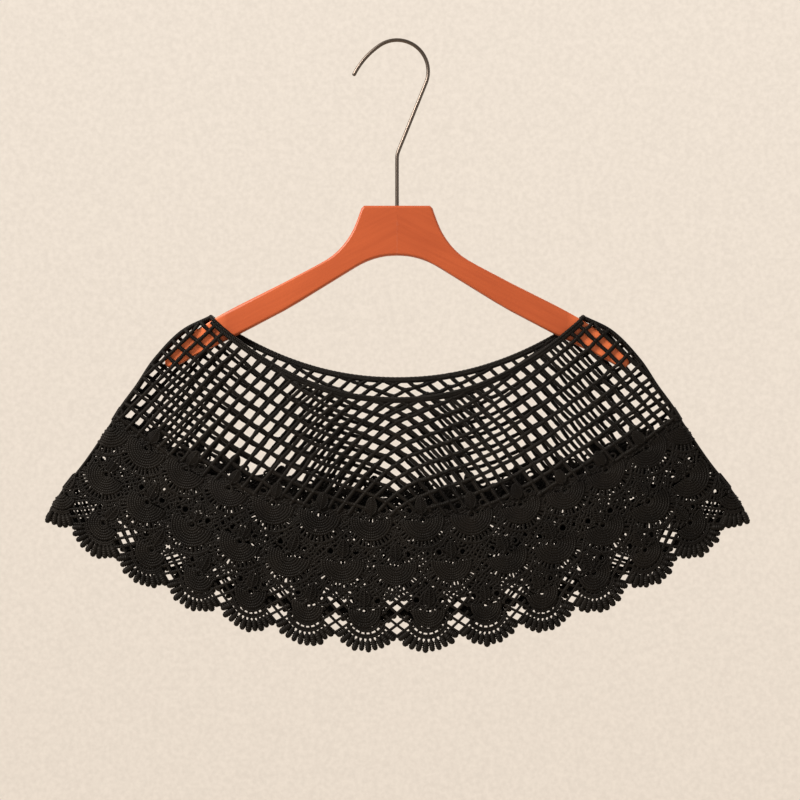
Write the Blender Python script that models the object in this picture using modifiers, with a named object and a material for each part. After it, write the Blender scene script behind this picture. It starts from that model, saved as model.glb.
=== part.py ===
# A short lace shawl, worked as a closed ring, hung flat on a wooden hanger with a wire hook.
# The origin is the inside of the hook's top, where a rail carries it.
# X runs to the right, Z up, and the front of the shawl faces -Y. Sizes are in millimetres.

import math

import bmesh
import bpy
from mathutils import Vector, geometry

MM = 0.001
GAP = 0.3  # between pieces that meet

# Wooden hanger
WOOD_THICK = 12.0
WOOD_ROUNDING = 2.5
WOOD_DROP = 155.2  # from the hook's inside to the top of the wood
BORE_DEPTH = 20.0
BORE_SIDES = 12
OUTLINE_STEPS = 2  # points drawn for each one in the wood's outline

# Wire hook
WIRE_RADIUS = 1.8
HOOK_RADIUS = 29.5
HOOK_SLANT = 22.0  # degrees that the hook's back leans from upright
SHANK_LENGTH = 39.9  # from the wood to the bend
SHANK_BEND_RADIUS = 21.0
SLANT_LENGTH = 68.9
HOOK_TIP_RADIUS = 75.0
HOOK_TURN = 147.0
HOOK_TIP_TURN = 28.0
WIRE_STEP = 9.0  # degrees of a bend between two points

# Cloth
WALL = 1.6
FAN_RISE = 0.9  # how far a fan's middle stands out from the wall
INNER_DEPTH = 6.4  # from the middle plane to the inside of a panel
BACK_LIFT = 19.0  # how much higher the back hangs at its middle
COLUMNS = 6.5  # fans from the middle to a side fold
SPREAD = 0.2  # columns are this much wider at the middle
TYPICAL_COLUMN = 42.0  # millimetres across
TYPICAL_ROW = 40.0  # millimetres down
FOLD_COLUMNS = 0.16  # the part of a column that rounds the side fold
FOLD_POWER = 2.4
NECK_CORD_RADIUS = 1.9
SEAM_CORD_RADIUS = 1.3
EDGE_STEP = 0.25  # columns between two points along an edge
SIDE_STEP = 0.5  # rows between two points down a side fold

# The rows of the shawl, from the neck down.
# row, half width at the side fold, drop at the fold, drop at the middle, power of the curve
ROWS = (
    ("neck", 175.2, 261.6, 337.7, 2.1),
    ("shoulder", 203.0, 275.8, 359.5, 2.2),
    ("upper net", 227.6, 301.2, 381.0, 2.3),
    ("lower net", 243.8, 325.2, 403.0, 2.4),
    ("lace top", 258.0, 344.5, 424.8, 2.6),
    ("fans A", 269.4, 362.5, 452.2, 2.1),
    ("fans B", 292.0, 395.6, 492.9, 2.3),
    ("fans C", 315.6, 425.9, 538.3, 2.1),
    ("hem", 330.7, 450.0, 576.6, 2.1),
)
LACE_TOP = 4
FAN_ROWS = (5, 6, 7)
HEM = 8

# Soft folds, as column, half width in columns, and how far they stand out at the hem
FRONT_FOLDS = (
    (-5.1, 0.60, 2.2),
    (-3.3, 0.75, 3.4),
    (-1.6, 0.60, 2.4),
    (0.4, 0.80, 3.8),
    (2.2, 0.60, 2.7),
    (3.9, 0.70, 3.3),
    (5.4, 0.55, 2.0),
)
BACK_FOLDS = (
    (-4.6, 0.70, 3.0),
    (-2.4, 0.80, 3.6),
    (-0.4, 0.60, 2.3),
    (1.5, 0.75, 3.5),
    (3.3, 0.60, 2.6),
    (5.0, 0.65, 2.8),
)

# Holes and fans in the lace
EYE_RADIUS = 2.9
MESH_HALF_WIDTH = 3.1
MESH_HALF_HEIGHT = 3.9
FAN_REACH = 15.0
FAN_HALF_WIDTH = 0.34  # of a column
FAN_DROP = 0.04  # rows from the eye to the middle of a fan's rim
FAN_TURNS = (-65, 0, 65)  # degrees from straight down
CROWN = 0.55  # how far down a fan its raised middle lies
MESH_OFFSET = (0.235, -0.36)  # from a fan's eye, in columns and rows
VALLEY_HOLES = (7.0, 7.205, 7.41)  # rows at which the gaps between hem fans lie
VALLEY_HALF_WIDTH = 3.6
VALLEY_HALF_ROWS = 0.08
SCALLOPS = 13
SCALLOP_CENTRE = 7.12
SCALLOP_ANGLE = 57.5
FINGERS = 10
FINGER_ROOT = 0.905  # of the scallop's radius
FINGER_TIP = (0.27, 0.73)  # where a finger's round end starts and stops

# Outline of a hanger half, as distance from the middle and drop below the hook's inside
WOOD_TOP = (
    (0.2, WOOD_DROP),
    (31.0, WOOD_DROP),
    (33.6, 157.6),
    (36.9, 167.0),
    (41.2, 177.5),
    (47.4, 188.0),
    (56.0, 198.0),
    (67.0, 206.5),
    (86.0, 216.8),
    (107.8, 228.3),
    (149.5, 249.2),
    (176.0, 263.8),
    (194.0, 275.6),
    (206.0, 284.6),
    (214.5, 293.4),
    (218.6, 300.4),
    (218.8, 305.0),
    (215.8, 308.0),
)
WOOD_UNDERSIDE = (
    (209.0, 307.0),
    (192.0, 297.6),
    (170.0, 286.8),
    (149.5, 276.7),
    (107.8, 254.8),
    (82.0, 239.6),
    (64.0, 228.4),
    (46.4, 217.6),
    (34.0, 210.2),
    (22.0, 205.2),
    (10.4, 202.6),
    (0.2, 202.0),
)


def clear_scene():
    for thing in list(bpy.data.objects):
        bpy.data.objects.remove(thing, do_unlink=True)


def collection(name, hidden=False):
    made = bpy.data.collections.new(name)
    bpy.context.scene.collection.children.link(made)
    made.hide_render = hidden
    return made


def material(name, colour, roughness, metallic=0.0):
    made = bpy.data.materials.new(name)
    made.use_nodes = True
    shader = made.node_tree.nodes["Principled BSDF"]
    shader.inputs["Base Color"].default_value = (*colour, 1.0)
    shader.inputs["Roughness"].default_value = roughness
    shader.inputs["Metallic"].default_value = metallic
    return made


def between_four(a, b, c, d, t):
    # A smooth curve from b to c, with a and d as its neighbours
    return b + 0.5 * t * (c - a + t * (2 * a - 5 * b + 4 * c - d + t * (3 * (b - c) + d - a)))


def row_point(index, column, lift):
    half_width, fold_drop, middle_drop, power = ROWS[index][1:]
    share = column / COLUMNS
    across = share * (1 + SPREAD * (1 - abs(share)))
    lowest = middle_drop - lift
    drop = lowest - (lowest - fold_drop) * abs(across) ** power
    return Vector((half_width * across, -drop))


def face_point(column, row, lift):
    # Where a column and a row cross, seen from the front
    low = min(int(row), HEM - 1)
    picks = [max(0, low - 1), low, low + 1, min(HEM, low + 2)]
    a, b, c, d = (row_point(i, column, lift) for i in picks)
    if low == 0:
        a = 2 * b - c
    if low == HEM - 1:
        d = 2 * c - b
    return between_four(a, b, c, d, row - low)


def fold_depth(folds, column, row):
    grown = min(1.0, max(0.0, (row - 2.0) / (HEM - 2.0)))
    height = sum(out * math.exp(-(((column - at) / wide) ** 2)) for at, wide, out in folds)
    return height * grown * grown * (3 - 2 * grown)


class Side:
    # The front or the back of the shawl, as a surface over columns and rows

    def __init__(self, facing, lift, folds):
        self.facing = facing  # -1 at the front, 1 at the back
        self.lift = lift
        self.folds = folds

    def point(self, column, row, start=SEAM_CORD_RADIUS + GAP):
        flat = face_point(column, row, self.lift)
        depth = INNER_DEPTH + fold_depth(self.folds, column, row)
        first = 1 - (1 - (start / depth) ** FOLD_POWER) ** (1 / FOLD_POWER)
        turned = min(1.0, (COLUMNS - abs(column)) / FOLD_COLUMNS)
        turned = first + (1 - first) * turned
        depth *= (1 - (1 - turned) ** FOLD_POWER) ** (1 / FOLD_POWER)
        return Vector((flat.x, self.facing * depth, flat.y))

    def outward(self, column, row):
        step = 0.002
        inner = math.copysign(min(abs(column), COLUMNS - step), column)
        low = max(step, min(row, HEM))
        across = self.point(inner + step, low) - self.point(inner - step, low)
        down = self.point(inner, low + step) - self.point(inner, low - step)
        normal = across.cross(down)
        return (normal if normal.y * self.facing > 0 else -normal).normalized()

    def scales(self, column, row):
        # Millimetres for one column and for one row at this place
        step = 0.05
        across = face_point(column + step, row, self.lift) - face_point(column - step, row, self.lift)
        down = face_point(column, row + step, self.lift) - face_point(column, row - step, self.lift)
        return across.length / (2 * step), down.length / (2 * step)

    def row_height(self, column, row):
        # Millimetres for one row, measured square to the row's own line
        step = 0.05
        here = face_point(column, row, self.lift)
        along = face_point(column + step, row, self.lift) - face_point(column - step, row, self.lift)
        down = face_point(column, row + step, self.lift) - here
        return abs(along.x * down.y - along.y * down.x) / (along.length * step)


FRONT = Side(-1, 0.0, FRONT_FOLDS)
BACK = Side(1, BACK_LIFT, BACK_FOLDS)


def fold_columns():
    # Columns close to a side fold, where the cloth turns
    return [COLUMNS - FOLD_COLUMNS * share for share in (0.0, 0.1, 0.34, 0.66, 1.0)]


def edge_columns():
    # Columns along a row's edge, the same ones on both pieces that meet there
    inner = [i * EDGE_STEP for i in range(math.ceil((COLUMNS - FOLD_COLUMNS) / EDGE_STEP))]
    half = sorted(inner + fold_columns())
    return [-column for column in reversed(half) if column > 0] + half


def edge_rows(first, last):
    steps = max(2, math.ceil((last - first) / SIDE_STEP))
    return [first + (last - first) * i / steps for i in range(steps + 1)]


def one_way_round(loop):
    area = sum(a[0] * b[1] - b[0] * a[1] for a, b in zip(loop, loop[1:] + loop[:1]))
    return list(loop) if area < 0 else list(reversed(loop))


def cloth_panel(name, side, outline, holes, spots, raised, paint, target):
    # A sheet over the outline with its holes left open, thickened outwards.
    # raised names the places whose wall is thicker, as a fan's middle is.
    places = one_way_round(outline)
    loops = [list(range(len(outline)))]
    for hole in holes:
        loops.append(list(range(len(places), len(places) + len(hole))))
        places += one_way_round(hole)
    places += spots
    flat = [Vector((column * TYPICAL_COLUMN, -row * TYPICAL_ROW)) for column, row in places]
    found = geometry.delaunay_2d_cdt(flat, [], loops, 1, 1e-5, True)
    corners, faces, sources, inside = found[0], found[2], found[3], found[5]
    kept = [face for face, loop in zip(faces, inside) if list(loop) == [0]]
    used = sorted({corner for face in kept for corner in face})
    number = {corner: i for i, corner in enumerate(used)}
    sheet = bpy.data.meshes.new(name)
    points = []
    thick = []
    for corner in used:
        column, row = corners[corner].x / TYPICAL_COLUMN, -corners[corner].y / TYPICAL_ROW
        points.append(side.point(column, row) * MM)
        thick.append(any(source in raised for source in sources[corner]))
    sheet.from_pydata(points, [], [[number[c] for c in face] for face in kept])
    panel = bpy.data.objects.new(name, sheet)
    target.objects.link(panel)
    bm = bmesh.new()
    bm.from_mesh(sheet)
    bmesh.ops.recalc_face_normals(bm, faces=bm.faces[:])
    if sum(face.normal.y * face.calc_area() for face in bm.faces) * side.facing < 0:
        bmesh.ops.reverse_faces(bm, faces=bm.faces[:])
    bm.to_mesh(sheet)
    bm.free()
    group = panel.vertex_groups.new(name="raised")
    group.add([i for i, yes in enumerate(thick) if yes], 1.0, "REPLACE")
    shell = panel.modifiers.new("Wall", "SOLIDIFY")
    shell.thickness = (WALL + FAN_RISE) * MM
    shell.offset = 1.0
    shell.vertex_group = "raised"
    shell.thickness_vertex_group = WALL / (WALL + FAN_RISE)
    sheet.materials.append(paint)
    return panel


def net_yoke(name, side, paint, target):
    # The diamond net, from the neck cord to the lace
    clear = NECK_CORD_RADIUS + GAP
    top = [(column, clear / side.row_height(column, 0.0)) for column in edge_columns()]
    down = 0.5 * GAP / side.scales(0.0, LACE_TOP)[1]
    bottom = [(column, LACE_TOP - down) for column in reversed(edge_columns())]
    right = [(COLUMNS, row) for row in edge_rows(top[-1][1], LACE_TOP - down)[1:-1]]
    left = [(-COLUMNS, row) for _, row in reversed(right)]
    spots = []
    for row in (0.5, 1.0, 1.5, 2.0, 2.5, 3.0, 3.5):
        for column in fold_columns()[1:]:
            spots += [(column, row), (-column, row)]
    for row in (1.0, 2.0, 3.0):
        spots += [(i * 0.5, row) for i in range(-12, 13)]
    return cloth_panel(name, side, top + right + bottom + left, [], spots, set(), paint, target)


def diamond(side, column, row, wide, high):
    along, down = side.scales(column, row)
    corners = ((0, -high), (wide, 0), (0, high), (-wide, 0))
    return [(column + x / along, row + z / down) for x, z in corners]


def eye(side, column, row):
    along, down = side.scales(column, row)
    turns = [math.radians(60 * i) for i in range(6)]
    return [
        (column + EYE_RADIUS * math.sin(t) / along, row - EYE_RADIUS * math.cos(t) / down)
        for t in turns
    ]


def fan_places(side, column, row):
    # The rim of a fan below its eye, and its raised middle
    down = side.scales(column, row)[1]
    reach = FAN_REACH / down
    rim = []
    for turn in FAN_TURNS:
        t = math.radians(turn)
        rim.append((column + FAN_HALF_WIDTH * math.sin(t), row + FAN_DROP + reach * math.cos(t)))
    return rim, (column, row + CROWN * reach)


def scalloped_hem():
    # The hem from the right fold to the left, as columns and rows
    limit = math.radians(SCALLOP_ANGLE)
    reach = HEM - SCALLOP_CENTRE
    half = 0.5 / math.sin(limit)

    def at(middle, turn, radius):
        across = middle + half * radius * math.sin(turn)
        return across, SCALLOP_CENTRE + reach * radius * math.cos(turn)

    line = []
    for scallop in range(SCALLOPS + 1):
        middle = COLUMNS - scallop
        for finger in range(FINGERS):
            first = limit * (1 - 2 * finger / FINGERS)
            last = limit * (1 - 2 * (finger + 1) / FINGERS)
            root = at(middle, first, FINGER_ROOT)
            if finger == 0:
                root = (middle + 0.5, root[1])
            line.append(root)
            for share in FINGER_TIP:
                line.append(at(middle, first + share * (last - first), 1.0))
    inside = [place for place in line if abs(place[0]) < COLUMNS - 0.02]
    return [(COLUMNS, HEM)] + inside + [(-COLUMNS, HEM)]


def lace_border(name, side, paint, target):
    # Three staggered rows of fans, with the gaps over 4 mm cut through
    down = 0.5 * GAP / side.scales(0.0, LACE_TOP)[1]
    first = LACE_TOP + down
    top = [(column, first) for column in edge_columns()]
    hem = scalloped_hem()
    right = [(COLUMNS, row) for row in edge_rows(first, HEM)[1:-1]]
    left = [(-COLUMNS, row) for _, row in reversed(right)]
    outline = top + right + hem + left
    holes = []
    rims = []
    crowns = []
    eyes = []
    for row in FAN_ROWS:
        last = 6 if row == 6 else 5.5
        for i in range(int(2 * last) + 1):
            column = i - last
            eyes.append(eye(side, column, row))
            rim, crown = fan_places(side, column, row)
            rims += rim
            crowns.append(crown)
            for hand in (-1, 1):
                place = (column + hand * MESH_OFFSET[0], row + MESH_OFFSET[1])
                holes.append(diamond(side, *place, MESH_HALF_WIDTH, MESH_HALF_HEIGHT))
    for column in range(-6, 7):
        for row in VALLEY_HOLES:
            high = VALLEY_HALF_ROWS * side.scales(column, row)[1]
            holes.append(diamond(side, column, row, VALLEY_HALF_WIDTH, high))
    spots = list(rims)
    for row in edge_rows(first, HEM)[1:-1]:
        for column in fold_columns()[1:]:
            spots += [(column, row), (-column, row)]
    loops = eyes + holes
    # The places are numbered through the outline, the loops, the spots and the crowns
    first_eye = len(outline)
    last_eye = first_eye + sum(len(loop) for loop in eyes)
    first_crown = first_eye + sum(len(loop) for loop in loops) + len(spots)
    raised = set(range(first_eye, last_eye))
    raised |= set(range(first_crown, first_crown + len(crowns)))
    return cloth_panel(name, side, outline, loops, spots + crowns, raised, paint, target)


def wire(name, points, radius, roundness, paint, target):
    # A round wire or cord along the points
    data = bpy.data.curves.new(name, "CURVE")
    data.dimensions = "3D"
    line = data.splines.new("POLY")
    line.points.add(len(points) - 1)
    for spot, place in zip(line.points, points):
        spot.co = (*(place * MM), 1.0)
    data.bevel_depth = radius * MM
    data.bevel_resolution = roundness
    data.use_fill_caps = True
    data.materials.append(paint)
    made = bpy.data.objects.new(name, data)
    target.objects.link(made)
    return made


def neck_cord(name, side, paint, target):
    # The cord that edges the neck, over the hanger's arms from shoulder to shoulder
    points = []
    for column in edge_columns():
        place = side.point(column, 0.0, start=0.5 * GAP)
        points.append(place + NECK_CORD_RADIUS * side.outward(column, 0.0))
    points[0].y = points[-1].y = side.facing * (0.5 * GAP + 1.0)
    level = Vector((0, side.facing, 0))
    points = [points[0] - level] + points + [points[-1] - level]
    return wire(name, points, NECK_CORD_RADIUS, 1, paint, target)


def seam_cord(name, hand, paint, target):
    # The cord down a side fold, between the front and the back
    points = []
    start = (NECK_CORD_RADIUS + 2 * GAP) / FRONT.scales(0.99 * COLUMNS, 0.1)[1]
    for row in edge_rows(start, HEM):
        column = hand * COLUMNS
        out = FRONT.outward(column, row)
        out.y = 0.0
        place = FRONT.point(column, row) + 0.5 * WALL * out.normalized()
        place.y = 0.0
        points.append(place)
    return wire(name, points, SEAM_CORD_RADIUS, 1, paint, target)


def hook_points():
    # The wire from inside the wood up the shank, over the hook's top and down to its tip
    runs = (
        ("straight", BORE_DEPTH - 1.0, 0.0),
        ("straight", SHANK_LENGTH, 0.0),
        ("right", SHANK_BEND_RADIUS, HOOK_SLANT),
        ("straight", SLANT_LENGTH, 0.0),
        ("left", HOOK_RADIUS, HOOK_TURN),
        ("left", HOOK_TIP_RADIUS, HOOK_TIP_TURN),
    )
    points = [Vector((0.0, 0.0, 0.0))]
    heading = 0.0
    for kind, size, turn in runs:
        if kind == "straight":
            points.append(points[-1] + size * Vector((math.sin(heading), 0, math.cos(heading))))
            continue
        hand = 1 if kind == "right" else -1
        steps = math.ceil(turn / WIRE_STEP)
        for _ in range(steps):
            bend = hand * math.radians(turn / steps)
            chord = 2 * size * math.sin(abs(bend) / 2)
            middle = heading + bend / 2
            points.append(points[-1] + chord * Vector((math.sin(middle), 0, math.cos(middle))))
            heading += bend
    rise = max(place.z for place in points) - WIRE_RADIUS
    return [place - Vector((0, 0, rise)) for place in points]


def rounded(points, steps):
    # A smooth line through the points, with the given steps between each two
    line = []
    spots = [Vector(point) for point in points]
    for i in range(len(spots) - 1):
        a = spots[max(0, i - 1)]
        d = spots[min(len(spots) - 1, i + 2)]
        for k in range(steps):
            line.append(between_four(a, spots[i], spots[i + 1], d, k / steps))
    return line + [spots[-1]]


def hanger_half(name, hand, bore, paint, target):
    # One half of the wooden hanger, flat, with rounded edges and a half bore for the shank
    outline = [Vector(point) for point in WOOD_TOP[:3]]
    outline += rounded(WOOD_TOP[3:], OUTLINE_STEPS) + rounded(WOOD_UNDERSIDE, OUTLINE_STEPS)
    mesh = bpy.data.meshes.new(name)
    bm = bmesh.new()
    half = 0.5 * WOOD_THICK
    corners = [bm.verts.new((hand * p.x * MM, -half * MM, -p.y * MM)) for p in outline]
    face = bm.faces.new(corners)
    grown = bmesh.ops.extrude_face_region(bm, geom=[face])
    moved = [item for item in grown["geom"] if isinstance(item, bmesh.types.BMVert)]
    bmesh.ops.translate(bm, verts=moved, vec=(0, WOOD_THICK * MM, 0))
    bmesh.ops.recalc_face_normals(bm, faces=bm.faces[:])
    seam = 1.0 * MM
    edges = []
    for edge in bm.edges:
        one, other = (corner.co for corner in edge.verts)
        if abs(one.y - other.y) < 1e-6 and max(abs(one.x), abs(other.x)) > seam:
            edges.append(edge)
    bmesh.ops.bevel(
        bm, geom=edges, offset=WOOD_ROUNDING * MM, segments=2, profile=0.5, affect="EDGES"
    )
    bmesh.ops.recalc_face_normals(bm, faces=bm.faces[:])
    bm.to_mesh(mesh)
    bm.free()
    mesh.materials.append(paint)
    made = bpy.data.objects.new(name, mesh)
    target.objects.link(made)
    cut = made.modifiers.new("Bore", "BOOLEAN")
    cut.operation = "DIFFERENCE"
    cut.object = bore
    return made


def shank_bore(target):
    mesh = bpy.data.meshes.new("shank_bore")
    bm = bmesh.new()
    length = 2 * BORE_DEPTH * MM
    radius = (WIRE_RADIUS + GAP) * MM
    bmesh.ops.create_cone(
        bm, cap_ends=True, segments=BORE_SIDES, radius1=radius, radius2=radius, depth=length
    )
    bm.to_mesh(mesh)
    bm.free()
    made = bpy.data.objects.new("shank_bore", mesh)
    made.location = (0, 0, -WOOD_DROP * MM)
    made.hide_render = True
    made.display_type = "WIRE"
    target.objects.link(made)
    return made


def build():
    clear_scene()
    shawl = collection("lace_shawl_on_hanger")
    cutters = collection("cutters", hidden=True)
    yarn = material("black crochet yarn", (0.009, 0.008, 0.007), 0.72)
    wood = material("orange lacquered wood", (0.60, 0.13, 0.045), 0.34)
    steel = material("polished steel wire", (0.62, 0.60, 0.57), 0.22, 1.0)
    bore = shank_bore(cutters)
    hanger_half("hanger_left", -1, bore, wood, shawl)
    hanger_half("hanger_right", 1, bore, wood, shawl)
    wire("hook", hook_points(), WIRE_RADIUS, 2, steel, shawl)
    neck_cord("neck_cord_front", FRONT, yarn, shawl)
    neck_cord("neck_cord_back", BACK, yarn, shawl)
    net_yoke("net_yoke_front", FRONT, yarn, shawl)
    net_yoke("net_yoke_back", BACK, yarn, shawl)
    lace_border("lace_border_front", FRONT, yarn, shawl)
    lace_border("lace_border_back", BACK, yarn, shawl)
    seam_cord("side_cord_left", -1, yarn, shawl)
    seam_cord("side_cord_right", 1, yarn, shawl)


build()
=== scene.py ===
# Short black lace shawl on a wooden hanger: the looks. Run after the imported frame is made.
import math
import random

import bmesh
import bpy
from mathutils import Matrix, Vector


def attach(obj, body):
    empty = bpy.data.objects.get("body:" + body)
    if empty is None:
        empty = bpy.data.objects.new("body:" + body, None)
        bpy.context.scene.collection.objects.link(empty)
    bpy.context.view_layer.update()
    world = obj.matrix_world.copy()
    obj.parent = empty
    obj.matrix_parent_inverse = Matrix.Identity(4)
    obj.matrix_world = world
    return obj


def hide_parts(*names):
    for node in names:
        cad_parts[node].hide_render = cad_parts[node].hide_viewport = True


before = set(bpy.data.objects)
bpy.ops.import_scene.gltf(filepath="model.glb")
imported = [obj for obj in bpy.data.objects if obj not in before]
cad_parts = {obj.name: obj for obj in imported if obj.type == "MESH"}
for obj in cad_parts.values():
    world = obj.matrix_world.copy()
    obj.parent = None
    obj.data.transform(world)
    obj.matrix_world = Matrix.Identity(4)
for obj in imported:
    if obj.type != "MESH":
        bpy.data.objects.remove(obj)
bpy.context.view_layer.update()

mm = 0.001

# The shawl's surface, in millimetres. A place on it is a column (one fan wide) and a row.
shawl = {
    "columns": 6.5,  # fans from the middle to a side fold
    "spread": 0.2,  # columns are this much wider at the middle
    "innerDepth": 6.4,  # from the middle plane to the inside of the cloth
    "foldColumns": 0.16,  # columns in which the cloth turns round a side fold
    "foldPower": 2.4,  # 2 would turn in a circle, more turns squarer
    "foldStart": 1.6,  # from the middle plane to the cloth, at the fold itself
    "foldsFrom": 2.0,  # the row where the hanging folds begin
    "hem": 8,  # the last row
    "rows": (  # half width at the fold, drop at the fold, drop at the middle, power of the curve
        (175.2, 261.6, 337.7, 2.1),  # neck
        (203.0, 275.8, 359.5, 2.2),  # shoulder
        (227.6, 301.2, 381.0, 2.3),  # upper net
        (243.8, 325.2, 403.0, 2.4),  # lower net
        (258.0, 344.5, 424.8, 2.6),  # top of the lace
        (269.4, 362.5, 452.2, 2.1),  # eyes of the first fans
        (292.0, 395.6, 492.9, 2.3),  # second fans
        (315.6, 425.9, 538.3, 2.1),  # hem fans
        (330.7, 450.0, 576.6, 2.1),  # hem
    ),
}
front = {
    "name": "front",
    "facing": -1,  # its outside looks along -Y
    "lift": 0.0,  # mm that its middle hangs higher than the rows say
    "seed": 3,
    "yokeFlat": (0.533, 0.185),  # the yoke's cut, in metres
    "yokeArea": 0.058,  # square metres
    "folds": (  # column, half width in columns, stand-out at the hem
        (-5.1, 0.60, 2.2),
        (-3.3, 0.75, 3.4),
        (-1.6, 0.60, 2.4),
        (0.4, 0.80, 3.8),
        (2.2, 0.60, 2.7),
        (3.9, 0.70, 3.3),
        (5.4, 0.55, 2.0),
    ),
}
back = {
    "name": "back",
    "facing": 1,
    "lift": 19.0,
    "seed": 11,
    "yokeFlat": (0.533, 0.166),
    "yokeArea": 0.056,
    "folds": (
        (-4.6, 0.70, 3.0),
        (-2.4, 0.80, 3.6),
        (-0.4, 0.60, 2.3),
        (1.5, 0.75, 3.5),
        (3.3, 0.60, 2.6),
        (5.0, 0.65, 2.8),
    ),
}


def betweenFour(a, b, c, d, t):
    # smooth curve from b to c
    return b + 0.5 * t * (c - a + t * (2 * a - 5 * b + 4 * c - d + t * (3 * (b - c) + d - a)))


def rowPoint(index, column, lift):
    halfWidth, foldDrop, middleDrop, power = shawl["rows"][index]
    share = column / shawl["columns"]
    across = share * (1 + shawl["spread"] * (1 - abs(share)))
    lowest = middleDrop - lift
    drop = lowest - (lowest - foldDrop) * abs(across) ** power
    return Vector((halfWidth * across, -drop))


def facePoint(column, row, lift):
    hem = shawl["hem"]
    low = max(0, min(int(row), hem - 1))
    picks = [max(0, low - 1), low, low + 1, min(hem, low + 2)]
    a, b, c, d = (rowPoint(i, column, lift) for i in picks)
    if low == 0:
        a = 2 * b - c
    if low == hem - 1:
        d = 2 * c - b
    return betweenFour(a, b, c, d, row - low)


def foldDepth(folds, column, row):
    # folds start softly below the shoulder and are full at the hem
    first = shawl["foldsFrom"]
    grown = min(1.0, max(0.0, (row - first) / (shawl["hem"] - first)))
    height = sum(out * math.exp(-(((column - at) / wide) ** 2)) for at, wide, out in folds)
    return height * grown * grown * (3 - 2 * grown)


def innerPoint(side, column, row):
    # the inside of the cloth, which turns round each side fold in a rounded corner
    flat = facePoint(column, row, side["lift"])
    depth = shawl["innerDepth"] + foldDepth(side["folds"], column, row)
    power = shawl["foldPower"]
    first = 1 - (1 - (shawl["foldStart"] / depth) ** power) ** (1 / power)
    turned = min(1.0, max(0.0, shawl["columns"] - abs(column)) / shawl["foldColumns"])
    turned = first + (1 - first) * turned
    depth *= (1 - (1 - turned) ** power) ** (1 / power)
    return Vector((flat.x, side["facing"] * depth, flat.y))


def outwardAt(side, column, row):
    step = 0.004
    inner = math.copysign(min(abs(column), shawl["columns"] - step), column)
    low = max(step, min(row, shawl["hem"]))
    across = innerPoint(side, inner + step, low) - innerPoint(side, inner - step, low)
    down = innerPoint(side, inner, low + step) - innerPoint(side, inner, low - step)
    normal = across.cross(down)
    return (normal if normal.y * side["facing"] > 0 else -normal).normalized()


def onCloth(side, column, row, out):
    # a point in metres that stands out from the inside of the cloth
    return (innerPoint(side, column, row) + out * outwardAt(side, column, row)) * mm


def scalesAt(side, column, row):
    # millimetres for one column and for one row
    step = 0.05
    lift = side["lift"]
    across = facePoint(column + step, row, lift) - facePoint(column - step, row, lift)
    down = facePoint(column, row + step, lift) - facePoint(column, row - step, lift)
    return across.length / (2 * step), down.length / (2 * step)


def placeOf(side, x, drop):
    # the column and row at a place seen from the front
    def columnAt(row):
        # the rule for the width in rowPoint, solved for the column
        width = facePoint(shawl["columns"], row, side["lift"]).x
        across = min(1.0, abs(x) / width)
        spread = shawl["spread"]
        root = math.sqrt(max(0.0, (1 + spread) * (1 + spread) - 4 * spread * across))
        share = (1 + spread - root) / (2 * spread)
        return math.copysign(min(share, 1.0) * shawl["columns"], x), abs(x) / width

    low, high = 0.0, float(shawl["hem"])
    for _ in range(18):
        row = 0.5 * (low + high)
        column, _ = columnAt(row)
        if -facePoint(column, row, side["lift"]).y < drop:
            low = row
        else:
            high = row
    column, share = columnAt(row)
    return column, row, share


# Materials


def linear(code):
    # sRGB hex to linear colour, opaque
    parts = [int(code[i:i + 2], 16) / 255 for i in (1, 3, 5)]
    parts = [p / 12.92 if p <= 0.04045 else ((p + 0.055) / 1.055) ** 2.4 for p in parts]
    return (*parts, 1)


def addNode(tree, kind, inputs=None, **settings):
    # one node with its settings, values and links; a node given as a value is its first output
    node = tree.nodes.new(kind)
    for name, value in settings.items():
        setattr(node, name, value)
    for key, value in (inputs or {}).items():
        if isinstance(value, bpy.types.Node):
            value = value.outputs[0]
        if isinstance(value, bpy.types.NodeSocket):
            tree.links.new(value, node.inputs[key])
        else:
            node.inputs[key].default_value = value
    return node


def newMaterial(name):
    made = bpy.data.materials.new(name)
    made.use_nodes = True
    made.node_tree.nodes.clear()
    return made, made.node_tree


def finishShader(tree, shader, height, distance, strength):
    bump = addNode(tree, "ShaderNodeBump", {"Height": height, "Distance": distance, "Strength": strength})
    tree.links.new(bump.outputs[0], shader.inputs["Normal"])
    addNode(tree, "ShaderNodeOutputMaterial", {"Surface": shader})


yarnFinish = {
    "dark": "#050404",
    "light": "#1a1714",
    "stops": (0.35, 0.8),  # where the dark ends and where the light is full
    "roughness": 0.5,
    "ior": 1.22,  # low, so that the lit side of the yarn stays black
    "sheen": "#cfc8c0",
    "twist": 1.9,  # mm between two turns of the plies
    "fuzz": 0.5,  # mm, loose fibres
    "cloud": 26.0,  # mm, slow change of shade over the lace
    "relief": 0.16,  # mm
}


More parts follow.
